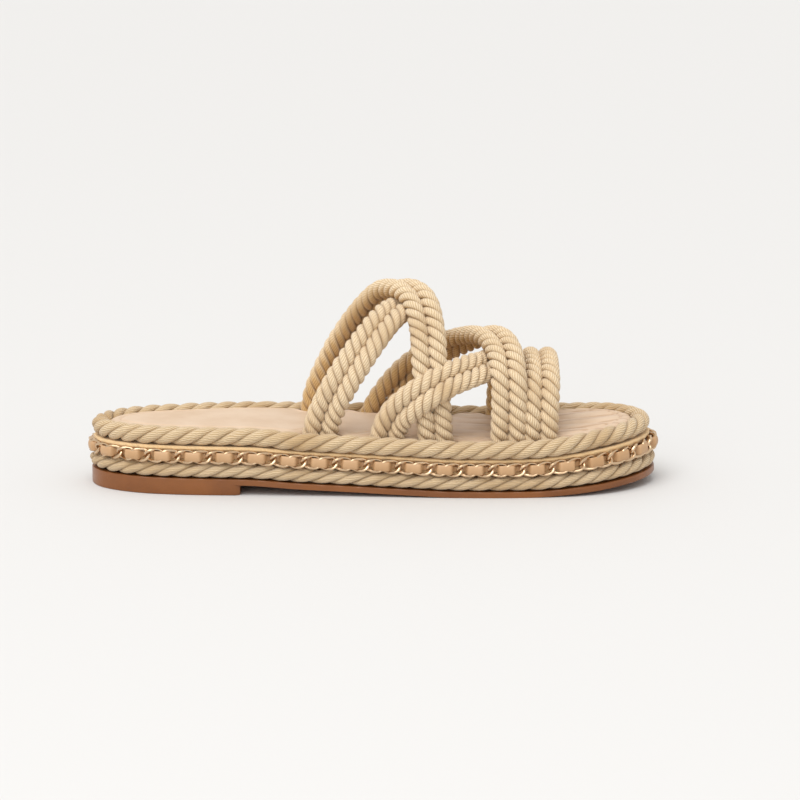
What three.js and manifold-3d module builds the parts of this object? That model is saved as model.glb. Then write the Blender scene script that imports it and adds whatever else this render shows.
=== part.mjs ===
// A left rope slide sandal on a flat platform sole, standing on the floor at Z = 0.
// Millimetres, +X to the toe, +Y to the outer side of the foot, +Z up.
import * as THREE from "three";
import { mergeVertices } from "three/addons/utils/BufferGeometryUtils.js";
import Module from "manifold-3d";

const wasm = await Module();
wasm.setup();

// Driving dimensions
const SHOE_LENGTH = 264; // of the outsole, heel to toe tip
const BALL_WIDTH = 86; // across the outsole at its widest
const HEEL_HEIGHT = 5.1; // floor to the outsole's underside at the back
const HEEL_BLOCK_LENGTH = 71; // back of the heel to its breast
const TOE_SPRING = 4.6; // floor to the outsole's underside at the toe tip
const TOE_THICKENING = 2; // extra height of the platform at the toe tip
const OUTSOLE_THICKNESS = 2.7;
const LOWER_ROPE_WIDTH = 8.2;
const LOWER_ROPE_HEIGHT = 6.6;
const ROPE_OVERHANG = 1; // of the lower rope past the outsole's edge
const TRIM_HEIGHT = 6.4; // of the chain and its leather round the platform
const CHAIN_THICKNESS = 2.4;
const LACE_THICKNESS = 1; // of the leather behind the chain
const LACE_SLOPE = 0.8; // along which a turn of leather comes forward
const LACE_PAD = 1.7; // how far each turn of leather comes out between the links
const TRIM_PERIOD = 14.4; // two links and one turn of leather
const WINDOW_LENGTH = 9.6; // of the gap in the chain that the leather fills
const RAIL_HEIGHT = 1; // of the chain above and below that gap
const BAND_SHOWING = 1.1; // midsole between the chain and the upper rope
const UPPER_ROPE_DIAMETER = 8.6;
const STRAP_PUSH = 2.4; // how far the strap ends press the upper rope outwards
const INSOLE_THICKNESS = 6.2;
const STRAP_ROPE_DIAMETER = 8.2;
const STRAP_ROPE_NEST = 0.3; // of each rope into the one sewn beside it
const FRONT_TUCK = 0.8; // of the front pair behind the pair that it stands against
const STRAP_TILT = 0.6; // of a strap's face, which would point away from the foot's middle at 1
const REAR_CREST = 89.8; // floor to the centre of the upper one of the rear crossed straps
const MIDDLE_CREST = 68; // the same for the pairs that cross in front of them
const FRONT_CREST = 57.5; // the same for the straight front pair
const MIDDLE_SLACK = 2; // more room between the two middle pairs where they cross
const SEAT_GAP = 0.3; // between pieces that lie on each other
const STRAP_LEAN = 0.8; // more room beside a strap's foot, which leans out over the upper rope
const FOOT_SPARE = 3; // length of each strap's foot that is cut off level with the shoulder
const ROPE_SINK = 1.36; // of the upper rope's middle, inwards from the band's edge
const OUTSOLE_ROUND = 0.6; // of the outsole's lower edge
const BAND_ROUND = 0.8; // of the midsole's upper edge
const PAD_ROUND = 1.6; // of the padded footbed's edge
const TRIM_SLACK = 0.15; // more room behind the trim, where its straight steps round the toe cut in

// Colours
const SOLE_BROWN = 0x965f3a;
const BAND_BEIGE = 0xcba97f;
const RAND_COTTON = 0xd9c29a;
const UPPER_ROPE_COTTON = 0xe6d0a9;
const STRAP_COTTON = 0xdcc49b;
const PALE_GILT = 0xe3c3a0;
const LACE_NUDE = 0xd1ad81;
const INSOLE_NUDE = 0xebd0b4;

const SIDE_STATIONS = 26; // steps along each side of the sole
const ROPE_SIDES = 8;
const STRAP_STEPS = 18;

// Heights in the stack, over the outsole's underside
const LOWER_ROPE_BASE = OUTSOLE_THICKNESS + SEAT_GAP;
const TRIM_BASE = LOWER_ROPE_BASE + LOWER_ROPE_HEIGHT + SEAT_GAP;
const SHOULDER = TRIM_BASE + TRIM_HEIGHT + BAND_SHOWING;
const INSOLE_BASE = SHOULDER + SEAT_GAP;
const INSOLE_TOP = INSOLE_BASE + INSOLE_THICKNESS;
const UPPER_ROPE_BASE = SHOULDER + SEAT_GAP;

// Where the platform starts to thicken towards the toe, as a share of the length
const THICKENING_START = 0.7;

// Places across the edge, outwards from the outsole's outline
const LOWER_ROPE_MIDDLE = ROPE_OVERHANG - LOWER_ROPE_WIDTH / 2;
const CORE_EDGE = ROPE_OVERHANG - LOWER_ROPE_WIDTH - SEAT_GAP;
const CHAIN_BACK = ROPE_OVERHANG - CHAIN_THICKNESS;
const LACE_BACK = CHAIN_BACK - SEAT_GAP - LACE_THICKNESS;
const BAND_EDGE = LACE_BACK - SEAT_GAP - TRIM_SLACK;
const UPPER_ROPE_MIDDLE = BAND_EDGE - ROPE_SINK;
const INSOLE_EDGE = UPPER_ROPE_MIDDLE - UPPER_ROPE_DIAMETER / 2 - SEAT_GAP;
const STRAP_FOOT =
  UPPER_ROPE_MIDDLE +
  STRAP_PUSH -
  (UPPER_ROPE_DIAMETER + STRAP_ROPE_DIAMETER) / 2 -
  SEAT_GAP -
  STRAP_LEAN;

// The outsole's outline from above, round from the heel: along is a share of the length, across a
// share of the ball width, with the inner side of the foot negative.
const OUTLINE = [
  { along: 0.0, across: 0.0 },
  { along: 0.02, across: -0.17 },
  { along: 0.08, across: -0.3 },
  { along: 0.16, across: -0.36 },
  { along: 0.3, across: -0.385 },
  { along: 0.46, across: -0.407 },
  { along: 0.62, across: -0.435 },
  { along: 0.76, across: -0.435 },
  { along: 0.87, across: -0.39 },
  { along: 0.94, across: -0.28 },
  { along: 0.985, across: -0.12 },
  { along: 1.0, across: 0.04 },
  { along: 0.99, across: 0.2 },
  { along: 0.955, across: 0.37 },
  { along: 0.9, across: 0.49 },
  { along: 0.82, across: 0.545 },
  { along: 0.7, across: 0.565 },
  { along: 0.56, across: 0.552 },
  { along: 0.4, across: 0.505 },
  { along: 0.27, across: 0.44 },
  { along: 0.16, across: 0.37 },
  { along: 0.07, across: 0.285 },
  { along: 0.018, across: 0.16 },
];

// Height of the outsole's underside: a share of the heel height behind the ball, of the toe spring
// before it, and nothing where the forefoot rests on the floor.
const SOLE_LINE = [
  { along: 0.0, heel: 1.0, toe: 0 },
  { along: 0.14, heel: 0.98, toe: 0 },
  { along: 0.28, heel: 0.91, toe: 0 },
  { along: 0.37, heel: 0.62, toe: 0 },
  { along: 0.46, heel: 0.42, toe: 0 },
  { along: 0.58, heel: 0.14, toe: 0 },
  { along: 0.65, heel: 0, toe: 0 },
  { along: 0.77, heel: 0, toe: 0 },
  { along: 0.87, heel: 0, toe: 0.34 },
  { along: 0.94, heel: 0, toe: 0.68 },
  { along: 1.0, heel: 0, toe: 1.0 },
];

// How far the upper rope is pressed outwards along the shoe, as a share of the strap push
const PRESSED = [
  { along: 0.0, push: 0 },
  { along: 0.29, push: 0 },
  { along: 0.37, push: 1 },
  { along: 0.83, push: 1 },
  { along: 0.9, push: 0 },
  { along: 1.0, push: 0 },
];

// Paths of the strap pairs from their steep foot to their slanting foot. Along is a share of the
// length, side a share of the half width at that foot (-1 at the steep foot, 1 at the slanting one),
// and rise a share of the way from the footbed's shoulder to the pair's crest.
const REAR_STRAP = [
  { along: 0.611, side: -1.0, rise: 0.0 },
  { along: 0.604, side: -1.02, rise: 0.36 },
  { along: 0.598, side: -0.95, rise: 0.59 },
  { along: 0.594, side: -0.72, rise: 0.79 },
  { along: 0.581, side: -0.4, rise: 0.95 },
  { along: 0.556, side: 0.0, rise: 1.0 },
  { along: 0.52, side: 0.5, rise: 0.95 },
  { along: 0.476, side: 0.88, rise: 0.745 },
  { along: 0.435, side: 1.05, rise: 0.49 },
  { along: 0.403, side: 1.0, rise: 0.21 },
  { along: 0.393, side: 1.0, rise: 0.0 },
];
const UNDER_STRAP = [
  { along: 0.733, side: -1.0, rise: 0.0 },
  { along: 0.736, side: -1.02, rise: 0.42 },
  { along: 0.738, side: -0.92, rise: 0.74 },
  { along: 0.735, side: -0.5, rise: 0.95 },
  { along: 0.724, side: 0.0, rise: 1.0 },
  { along: 0.698, side: 0.55, rise: 0.97 },
  { along: 0.665, side: 0.84, rise: 0.94 },
  { along: 0.63, side: 1.05, rise: 0.88 },
  { along: 0.595, side: 1.16, rise: 0.76 },
  { along: 0.564, side: 1.13, rise: 0.6 },
  { along: 0.536, side: 1.03, rise: 0.38 },
  { along: 0.515, side: 1.0, rise: 0.0 },
];
const OVER_STRAP = [
  { along: 0.733, side: -1.0, rise: 0.0 },
  { along: 0.736, side: -1.02, rise: 0.42 },
  { along: 0.735, side: -0.92, rise: 0.74 },
  { along: 0.725, side: -0.5, rise: 0.95 },
  { along: 0.702, side: 0.0, rise: 1.0 },
  { along: 0.665, side: 0.6, rise: 0.9 },
  { along: 0.625, side: 0.95, rise: 0.77 },
  { along: 0.585, side: 1.04, rise: 0.63 },
  { along: 0.545, side: 1.06, rise: 0.43 },
  { along: 0.512, side: 1.0, rise: 0.18 },
  { along: 0.495, side: 1.0, rise: 0.0 },
];
const FRONT_STRAP = [
  { along: 0.733, side: -1.0, rise: 0.0 },
  { along: 0.735, side: -1.0, rise: 0.5 },
  { along: 0.737, side: -0.8, rise: 0.82 },
  { along: 0.738, side: 0.0, rise: 1.0 },
  { along: 0.737, side: 0.8, rise: 0.82 },
  { along: 0.735, side: 1.0, rise: 0.5 },
  { along: 0.733, side: 1.0, rise: 0.0 },
];

// Each pair: its path, the side of the foot that its steep end stands on, its crest, how far along
// the shoe it reaches from that end, as a share of its path's reach, and how far it stands ahead of
// its path. The front pair stands against the one behind it.
const CROSSING_STEP = STRAP_ROPE_DIAMETER - SEAT_GAP;
const STRAP_ROPE_SPACING = STRAP_ROPE_DIAMETER - STRAP_ROPE_NEST;
const UNDER_CREST = MIDDLE_CREST - CROSSING_STEP - MIDDLE_SLACK;
const FRONT_STEP = 2 * STRAP_ROPE_SPACING - FRONT_TUCK;
const STRAP_PAIRS = [
  { path: REAR_STRAP, steep: 1, crest: REAR_CREST - CROSSING_STEP, reach: 0.95, ahead: 0 },
  { path: REAR_STRAP, steep: -1, crest: REAR_CREST, reach: 1, ahead: 0 },
  { path: UNDER_STRAP, steep: 1, crest: UNDER_CREST, reach: 1, ahead: 0 },
  { path: OVER_STRAP, steep: -1, crest: MIDDLE_CREST, reach: 1, ahead: 0 },
  { path: FRONT_STRAP, steep: -1, crest: FRONT_CREST, reach: 1, ahead: FRONT_STEP },
];

// Value of a table's column at a place, by a cubic that never overshoots its rows.
function fromTable(rows, place, column) {
  let i = 0;
  while (i < rows.length - 2 && place > rows[i + 1].along) i++;
  const slope = (k) => (rows[k + 1][column] - rows[k][column]) / (rows[k + 1].along - rows[k].along);
  const tangent = (k) => {
    if (k === 0) return slope(0);
    if (k === rows.length - 1) return slope(k - 1);
    const before = slope(k - 1);
    const after = slope(k);
    return before * after <= 0 ? 0 : (2 * before * after) / (before + after);
  };
  const width = rows[i + 1].along - rows[i].along;
  const t = THREE.MathUtils.clamp((place - rows[i].along) / width, 0, 1);
  return (
    rows[i][column] * (1 + 2 * t) * (1 - t) ** 2 +
    rows[i + 1][column] * t ** 2 * (3 - 2 * t) +
    width * (tangent(i) * t * (1 - t) ** 2 - tangent(i + 1) * t ** 2 * (1 - t))
  );
}

// Height of the outsole's underside at a distance from the heel
function soleHeight(x) {
  const along = THREE.MathUtils.clamp(x / SHOE_LENGTH, 0, 1);
  const behindBall = HEEL_HEIGHT * fromTable(SOLE_LINE, along, "heel");
  return behindBall + TOE_SPRING * fromTable(SOLE_LINE, along, "toe");
}

// A point of the flat stack carried onto the sole's curve
const SLOPE_STEP = 2;
function onSole(x, y, height) {
  const climb = soleHeight(x + SLOPE_STEP) - soleHeight(x - SLOPE_STEP);
  const slope = Math.atan(climb / (2 * SLOPE_STEP));
  const thickening = TOE_THICKENING * THREE.MathUtils.smoothstep(x / SHOE_LENGTH, THICKENING_START, 1);
  const risen = height * (1 + thickening / INSOLE_TOP);
  return new THREE.Vector3(x - risen * Math.sin(slope), y, soleHeight(x) + risen * Math.cos(slope));
}

const outlineCurve = new THREE.CatmullRomCurve3(
  OUTLINE.map((row) => new THREE.Vector3(row.along * SHOE_LENGTH, row.across * BALL_WIDTH, 0)),
  true,
  "centripetal",
);
const OUTLINE_STEPS = 720;
const outlinePoints = outlineCurve.getSpacedPoints(OUTLINE_STEPS).slice(0, -1);
const TOE_INDEX = outlinePoints.reduce((best, p, i) => (p.x > outlinePoints[best].x ? i : best), 0);

// Point of the outline at an index, which may fall between two, moved outwards by a distance
const TANGENT_REACH = 5;
function edgeAt(index, outwards) {
  const at = (k) => outlinePoints[((k % OUTLINE_STEPS) + OUTLINE_STEPS) % OUTLINE_STEPS];
  const whole = Math.floor(index);
  const ahead = at(whole + TANGENT_REACH).clone().sub(at(whole - TANGENT_REACH)).normalize();
  const here = at(whole).clone().lerp(at(whole + 1), index - whole);
  return { x: here.x + ahead.y * outwards, y: here.y - ahead.x * outwards };
}

// Outline indices of the sole's stations: along the inner side to the toe, back along the outer side
const soleStations = [];
for (let i = 0; i < SIDE_STATIONS; i++) soleStations.push((TOE_INDEX * i) / SIDE_STATIONS);
for (let i = 0; i < SIDE_STATIONS; i++) {
  soleStations.push(TOE_INDEX + ((OUTLINE_STEPS - TOE_INDEX) * i) / SIDE_STATIONS);
}

// Across position of the outline, moved by a distance, on one side of the foot at a place along it
function sideAt(x, side, outwards) {
  const from = side < 0 ? 0 : OUTLINE_STEPS;
  let best = { gap: Infinity, y: 0 };
  for (let i = 0; i <= OUTLINE_STEPS / 2; i++) {
    const edge = edgeAt(from + (side < 0 ? i : -i), outwards);
    const gap = Math.abs(edge.x - x);
    if (gap < best.gap) best = { gap, y: edge.y };
  }
  return best.y;
}

function geometryOf(points, triangles) {
  const geometry = new THREE.BufferGeometry();
  const numbers = points.flatMap((p) => [p.x, p.y, p.z]);
  geometry.setAttribute("position", new THREE.Float32BufferAttribute(numbers, 3));
  geometry.setIndex(triangles.flat());
  return geometry;
}

// Solid through levels of the outline from the bottom up, each an edge distance and a height
function stackOf(levels, placed = onSole) {
  const count = soleStations.length;
  const points = levels.flatMap(({ edge, height }) =>
    soleStations.map((index) => {
      const p = edgeAt(index, edge);
      return placed(p.x, p.y, height);
    }),
  );
  const triangles = [];
  const quad = (a, b, c, d) => triangles.push([a, b, c], [a, c, d]);
  levels.slice(1).forEach((level, l) => {
    for (let k = 0; k < count; k++) {
      const next = (k + 1) % count;
      quad(l * count + k, l * count + next, (l + 1) * count + next, (l + 1) * count + k);
    }
  });
  const top = (levels.length - 1) * count;
  for (let k = 0; k < count / 2; k++) {
    const inner = [k, k + 1];
    const outer = [(count - k) % count, count - k - 1];
    if (outer[1] !== inner[1]) {
      triangles.push([top + inner[0], top + inner[1], top + outer[1]]);
      triangles.push([inner[0], outer[1], inner[1]]);
    }
    if (outer[0] !== inner[0]) {
      triangles.push([top + inner[0], top + outer[1], top + outer[0]]);
      triangles.push([inner[0], outer[0], outer[1]]);
    }
  }
  return geometryOf(points, triangles);
}

// Ring round the sole whose section is a closed row of corners, each an edge distance and a height
function ringOf(stations, cornersAt) {
  const sections = stations.map((index) =>
    cornersAt(index).map(({ edge, height }) => {
      const p = edgeAt(index, edge);
      return onSole(p.x, p.y, height);
    }),
  );
  const sides = sections[0].length;
  const triangles = [];
  sections.forEach((section, s) => {
    const next = ((s + 1) % sections.length) * sides;
    for (let c = 0; c < sides; c++) {
      const d = (c + 1) % sides;
      triangles.push([s * sides + c, next + c, next + d], [s * sides + c, next + d, s * sides + d]);
    }
  });
  return geometryOf(sections.flat(), triangles);
}

// Corners of an oval rope section
function ovalCorners(edge, height, width, tall) {
  return Array.from({ length: ROPE_SIDES }, (_, c) => {
    const turn = ((c + 0.5) * 2 * Math.PI) / ROPE_SIDES;
    return {
      edge: edge + (Math.cos(turn) * width) / 2,
      height: height + (Math.sin(turn) * tall) / 2,
    };
  });
}

// Corners of an upright strip section
function stripCorners(back, front, bottom, top) {
  return [
    { edge: front, height: bottom },
    { edge: front, height: top },
    { edge: back, height: top },
    { edge: back, height: bottom },
  ];
}

function solidOf(geometry) {
  const plain = geometry.clone();
  plain.deleteAttribute("normal");
  plain.deleteAttribute("uv");
  const merged = mergeVertices(plain, 1e-4);
  return new wasm.Manifold(
    new wasm.Mesh({
      numProp: 3,
      vertProperties: new Float32Array(merged.attributes.position.array),
      triVerts: new Uint32Array(merged.index.array),
    }),
  );
}

function geometryFrom(solid) {
  const mesh = solid.getMesh();
  const geometry = new THREE.BufferGeometry();
  const numbers = new Float32Array(mesh.vertProperties);
  geometry.setAttribute("position", new THREE.BufferAttribute(numbers, 3));
  geometry.setIndex(Array.from(mesh.triVerts));
  return geometry;
}

const joined = (geometries) => geometries.map(solidOf).reduce((all, one) => all.add(one));

// The part of the room under the outsole that lies over the floor and behind the breast
function heelBlock() {
  const depth = 4 * HEEL_HEIGHT;
  const under = stackOf(
    [
      { edge: 0, height: -depth },
      { edge: 0, height: -SEAT_GAP },
    ],
    (x, y, height) => new THREE.Vector3(x, y, soleHeight(x) + height),
  );
  const room = new THREE.BoxGeometry(HEEL_BLOCK_LENGTH + depth, 2 * BALL_WIDTH, depth);
  room.translate((HEEL_BLOCK_LENGTH - depth) / 2, 0, depth / 2);
  return geometryFrom(solidOf(under).intersect(solidOf(room)));
}

function lowerRope() {
  const middle = LOWER_ROPE_BASE + LOWER_ROPE_HEIGHT / 2;
  const corners = ovalCorners(LOWER_ROPE_MIDDLE, middle, LOWER_ROPE_WIDTH, LOWER_ROPE_HEIGHT);
  return ringOf(soleStations, () => corners);
}

function midsole() {
  return stackOf([
    { edge: CORE_EDGE, height: LOWER_ROPE_BASE },
    { edge: CORE_EDGE, height: TRIM_BASE },
    { edge: BAND_EDGE, height: TRIM_BASE },
    { edge: BAND_EDGE, height: SHOULDER - BAND_ROUND },
    { edge: BAND_EDGE - BAND_ROUND, height: SHOULDER },
  ]);
}

function upperRope() {
  const middle = UPPER_ROPE_BASE + UPPER_ROPE_DIAMETER / 2;
  return ringOf(soleStations, (index) => {
    const along = THREE.MathUtils.clamp(edgeAt(index, 0).x / SHOE_LENGTH, 0, 1);
    const edge = UPPER_ROPE_MIDDLE + STRAP_PUSH * fromTable(PRESSED, along, "push");
    return ovalCorners(edge, middle, UPPER_ROPE_DIAMETER, UPPER_ROPE_DIAMETER);
  });
}

// The trim goes round in whole turns of leather; a window in the chain runs between two indices
const TRIM_TURNS = Math.round(outlineCurve.getLength() / TRIM_PERIOD);
const TURN_STEP = OUTLINE_STEPS / TRIM_TURNS;
const windowEnds = Array.from({ length: TRIM_TURNS }, (_, turn) => [
  TURN_STEP * (turn + 0.5 - WINDOW_LENGTH / TRIM_PERIOD / 2),
  TURN_STEP * (turn + 0.5 + WINDOW_LENGTH / TRIM_PERIOD / 2),
]);

// A band with one window between each pair of stations: two rails joined by short rungs
function chain() {
  const heights = [0, RAIL_HEIGHT, TRIM_HEIGHT - RAIL_HEIGHT, TRIM_HEIGHT].map((h) => TRIM_BASE + h);
  const stations = windowEnds.flat();
  const points = stations.flatMap((index) =>
    [CHAIN_BACK + CHAIN_THICKNESS, CHAIN_BACK].flatMap((edge) =>
      heights.map((height) => {
        const p = edgeAt(index, edge);
        return onSole(p.x, p.y, height);
      }),
    ),
  );
  const ROW = 2 * heights.length;
  const [FRONT, BACK] = [0, heights.length];
  const triangles = [];
  const quad = (a, b, c, d) => triangles.push([a, b, c], [a, c, d]);
  stations.forEach((_, s) => {
    const here = s * ROW;
    const next = ((s + 1) % stations.length) * ROW;
    const span = (a, b) => quad(here + a, next + a, next + b, here + b);
    const isWindow = s % 2 === 0;
    [0, 2].forEach((low) => {
      span(FRONT + low, FRONT + low + 1);
      span(BACK + low + 1, BACK + low);
    });
    span(BACK, FRONT);
    span(FRONT + 3, BACK + 3);
    if (isWindow) {
      span(FRONT + 1, BACK + 1);
      span(BACK + 2, FRONT + 2);
      quad(here + BACK + 1, here + BACK + 2, here + FRONT + 2, here + FRONT + 1);
      quad(next + FRONT + 1, next + FRONT + 2, next + BACK + 2, next + BACK + 1);
    } else {
      span(FRONT + 1, FRONT + 2);
      span(BACK + 2, BACK + 1);
    }
  });
  return geometryOf(points, triangles);
}

// A ribbon behind the chain that comes forward through each window
function leatherLace() {
  const clear = (TURN_STEP * SEAT_GAP) / TRIM_PERIOD;
  const slope = (TURN_STEP * LACE_SLOPE) / TRIM_PERIOD;
  const hidden = LACE_BACK + LACE_THICKNESS;
  const shown = CHAIN_BACK + LACE_PAD;
  const stations = windowEnds.flatMap(([start, end]) => [
    { index: start + clear, front: hidden },
    { index: start + clear + slope, front: shown },
    { index: end - clear - slope, front: shown },
    { index: end - clear, front: hidden },
  ]);
  const fronts = new Map(stations.map(({ index, front }) => [index, front]));
  const bottom = TRIM_BASE + RAIL_HEIGHT + SEAT_GAP;
  const top = TRIM_BASE + TRIM_HEIGHT - RAIL_HEIGHT - SEAT_GAP;
  const stripAt = (index) => stripCorners(LACE_BACK, fronts.get(index), bottom, top);
  return ringOf([...fronts.keys()], stripAt);
}

// The two rope paths of a strap pair, side by side on the strap's curved face
function pairPaths({ path, steep, crest, reach, ahead }) {
  const middle = (x) => (sideAt(x, -1, STRAP_FOOT) + sideAt(x, 1, STRAP_FOOT)) / 2;
  const centres = path.map(({ along, side, rise }) => {
    const x = (path[0].along + (along - path[0].along) * reach) * SHOE_LENGTH + ahead;
    const half = sideAt(x, 1, STRAP_FOOT) - middle(x);
    const y = middle(x) - steep * side * half;
    const foot = onSole(x, y, UPPER_ROPE_BASE).z;
    const spare = rise === 0 ? FOOT_SPARE : 0;
    return new THREE.Vector3(x, y, foot + rise * (crest - foot) - spare);
  });
  const curve = new THREE.CatmullRomCurve3(centres, false, "centripetal");
  const offsets = [-STRAP_ROPE_SPACING / 2, STRAP_ROPE_SPACING / 2];
  return offsets.map((offset) => {
    const points = Array.from({ length: STRAP_STEPS + 1 }, (_, i) => {
      const point = curve.getPoint(i / STRAP_STEPS);
      const along = curve.getTangent(i / STRAP_STEPS);
      const above = Math.max(point.z - soleHeight(point.x) - INSOLE_TOP, 0);
      const outward = new THREE.Vector3(0, point.y - middle(point.x), STRAP_TILT * above);
      const across = along.cross(outward.normalize()).normalize();
      return point.addScaledVector(across, offset);
    });
    return new THREE.CatmullRomCurve3(points, false, "centripetal");
  });
}

// Tube whose section has the area of the round rope
function tubeAlong(curve, radius, steps) {
  const step = (2 * Math.PI) / ROPE_SIDES;
  const corner = radius * Math.sqrt(step / Math.sin(step));
  const section = new THREE.Shape(
    Array.from({ length: ROPE_SIDES }, (_, c) => {
      return new THREE.Vector2(corner * Math.cos(c * step), corner * Math.sin(c * step));
    }),
  );
  return new THREE.ExtrudeGeometry(section, { steps, bevelEnabled: false, extrudePath: curve });
}

const strapPairs = STRAP_PAIRS.map(pairPaths);

function upper() {
  const radius = STRAP_ROPE_DIAMETER / 2;
  const ropes = joined(strapPairs.flat().map((curve) => tubeAlong(curve, radius, STRAP_STEPS)));
  const platform = stackOf([
    { edge: 0, height: 0 },
    { edge: 0, height: UPPER_ROPE_BASE },
  ]);
  return geometryFrom(ropes.subtract(solidOf(platform)));
}

// The footbed, crowned towards its edge and notched round each strap's foot
function insole() {
  const pad = stackOf([
    { edge: INSOLE_EDGE, height: INSOLE_BASE },
    { edge: INSOLE_EDGE, height: INSOLE_TOP - PAD_ROUND },
    { edge: INSOLE_EDGE - PAD_ROUND, height: INSOLE_TOP - PAD_ROUND / 3 },
    { edge: INSOLE_EDGE - 3 * PAD_ROUND, height: INSOLE_TOP },
  ]);
  const clear = STRAP_ROPE_DIAMETER / 2 + 2 * SEAT_GAP;
  const tall = 4 * INSOLE_THICKNESS;
  const notches = strapPairs.flatMap((pair) =>
    [0, 1].flatMap((end) => {
      const lines = pair.map((curve) => {
        const foot = curve.getPointAt(end);
        const higher = curve.getPointAt(Math.abs(end - tall / 2 / curve.getLength()));
        const below = foot.clone().lerp(higher, -1);
        return new THREE.LineCurve3(below, foot.clone().lerp(higher, 2));
      });
      const ends = lines.map((line) => line.getPoint(0.5));
      const middle = ends[0].clone().lerp(ends[1], 0.5);
      const outwards = Math.sign(middle.y);
      const width = STRAP_ROPE_SPACING + 2 * clear;
      const mouth = new THREE.BoxGeometry(width, STRAP_ROPE_DIAMETER, 2 * tall);
      mouth.rotateZ(Math.atan((ends[1].y - ends[0].y) / (ends[1].x - ends[0].x)));
      mouth.translate(middle.x, middle.y + (outwards * STRAP_ROPE_DIAMETER) / 2, middle.z);
      return [...lines.map((line) => tubeAlong(line, clear, 1)), mouth];
    }),
  );
  return geometryFrom(solidOf(pad).subtract(joined(notches)));
}

// Group of every piece, each with the colour and finish of its material
const shoe = new THREE.Group();
function place(name, geometry, color, roughness, metalness = 0) {
  const mesh = new THREE.Mesh(geometry, new THREE.MeshStandardMaterial({ color, roughness, metalness }));
  mesh.name = name;
  shoe.add(mesh);
}

place(
  "outsole",
  stackOf([
    { edge: -OUTSOLE_ROUND, height: 0 },
    { edge: 0, height: OUTSOLE_ROUND },
    { edge: 0, height: OUTSOLE_THICKNESS },
  ]),
  SOLE_BROWN,
  0.45,
);
place("heel_block", heelBlock(), SOLE_BROWN, 0.45);
place("midsole", midsole(), BAND_BEIGE, 0.8);
place("lower_rope", lowerRope(), RAND_COTTON, 0.9);
place("chain", chain(), PALE_GILT, 0.25, 1);
place("leather_lace", leatherLace(), LACE_NUDE, 0.5);
place("upper_rope", upperRope(), UPPER_ROPE_COTTON, 0.9);
place("insole", insole(), INSOLE_NUDE, 0.5);
place("upper", upper(), STRAP_COTTON, 0.9);

// The origin is the middle of the sandal's footprint, on the floor
const box = new THREE.Box3().setFromObject(shoe);
shoe.position.set(-(box.min.x + box.max.x) / 2, -(box.min.y + box.max.y) / 2, -box.min.z);

export default shoe;
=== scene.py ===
# A left rope slide sandal: ropes, chain trim and footbed laid over the CAD frame.
# Metres, +X to the toe, +Y to the outer side of the foot, +Z up.
import math

import bpy
import numpy as np
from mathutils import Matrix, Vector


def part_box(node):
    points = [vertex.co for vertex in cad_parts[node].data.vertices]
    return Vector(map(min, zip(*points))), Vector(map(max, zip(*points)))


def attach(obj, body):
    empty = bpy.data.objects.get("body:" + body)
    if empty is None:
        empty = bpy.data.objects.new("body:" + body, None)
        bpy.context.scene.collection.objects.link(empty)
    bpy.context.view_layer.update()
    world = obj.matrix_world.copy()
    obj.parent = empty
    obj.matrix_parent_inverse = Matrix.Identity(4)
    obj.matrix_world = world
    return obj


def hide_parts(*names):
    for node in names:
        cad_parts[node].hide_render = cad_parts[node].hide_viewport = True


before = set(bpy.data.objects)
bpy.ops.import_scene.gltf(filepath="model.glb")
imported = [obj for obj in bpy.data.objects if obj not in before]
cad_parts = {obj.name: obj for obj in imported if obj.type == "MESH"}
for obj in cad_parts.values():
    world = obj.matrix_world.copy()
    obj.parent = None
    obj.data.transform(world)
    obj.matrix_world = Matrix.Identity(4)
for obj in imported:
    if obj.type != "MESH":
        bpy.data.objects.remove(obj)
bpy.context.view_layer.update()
MM = 0.001

# ---------------------------------------------------------------- The view
# A pale floor that runs past the picture, soft light from above and in front, and the camera
# a little over one metre from the inner side of the shoe, looking slightly down on it.
CAMERA_PLACE = (12.41 * MM, -1231.17 * MM, 283.13 * MM)
CAMERA_TILT = math.radians(78.7)  # from straight down
SENSOR_WIDTH = 36
LENS = 120.4
FLOOR_SIZE = 24
FLOOR_CELLS = 40
FLOOR_PLACE = (0, 8, 0)
FLOOR_WHITE = (0.685, 0.678, 0.668, 1)
STUDIO_WHITE = (1.0, 0.99, 0.975, 1)
STUDIO_STRENGTH = 0.83
CEILING_HEIGHT = 2
CEILING_LEAN = (math.radians(24), math.radians(-14), 0)
CEILING_SPREAD = math.radians(50)
CEILING_STRENGTH = 1.6
FRONT_PLACE = (-0.5, -1.5, 0.8)
FRONT_LEAN = (math.radians(62), 0, math.radians(-18))
FRONT_SIZE = 1.2
FRONT_POWER = 5

camera = bpy.data.objects.new("camera", bpy.data.cameras.new("camera"))
bpy.context.collection.objects.link(camera)
camera.location = CAMERA_PLACE
camera.rotation_euler = (CAMERA_TILT, 0, 0)
camera.data.sensor_width = SENSOR_WIDTH
camera.data.lens = LENS
bpy.context.scene.camera = camera
bpy.context.scene.view_settings.view_transform = "Standard"


def node(tree, kind, inputs=None, **settings):
    """A shader node with its settings, and its inputs set or joined to other nodes' sockets"""
    made = tree.nodes.new("ShaderNode" + kind)
    for name, value in settings.items():
        setattr(made, name, value)
    for name, value in (inputs or {}).items():
        if isinstance(value, bpy.types.NodeSocket):
            tree.links.new(value, made.inputs[name])
        else:
            made.inputs[name].default_value = value
    return made


def new_material(name, **constants):
    """A material with its Principled BSDF's plain values set; gives the material and that shader"""
    material = bpy.data.materials.new(name)
    material.use_nodes = True
    shader = material.node_tree.nodes["Principled BSDF"]
    for socket, value in constants.items():
        shader.inputs[socket.replace("_", " ")].default_value = value
    return material, shader


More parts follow.
